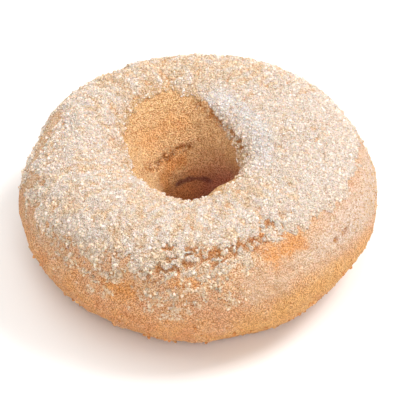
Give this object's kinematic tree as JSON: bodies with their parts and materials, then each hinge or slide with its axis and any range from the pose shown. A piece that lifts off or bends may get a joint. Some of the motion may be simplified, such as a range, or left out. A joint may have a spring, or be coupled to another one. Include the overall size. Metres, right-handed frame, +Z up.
{
  "type": "sugared doughnut",
  "caption": "Ring of fried dough with a funnelled hole and a flat underside, dusted with sugar.",
  "frame": {"origin": "on the surface that the doughnut lies on, under the middle of its outline", "axes": "+Z up through the hole, -Y towards the side that the picture is taken from, +X to its right"},
  "size_m": [0.086, 0.0864, 0.0318],
  "materials": {
    "sugared_crust": "matt golden crust under a dusting of white sugar"
  },
  "bodies": {
    "root": {"doughnut": "sugared_crust"}
  },
  "joints": []
}
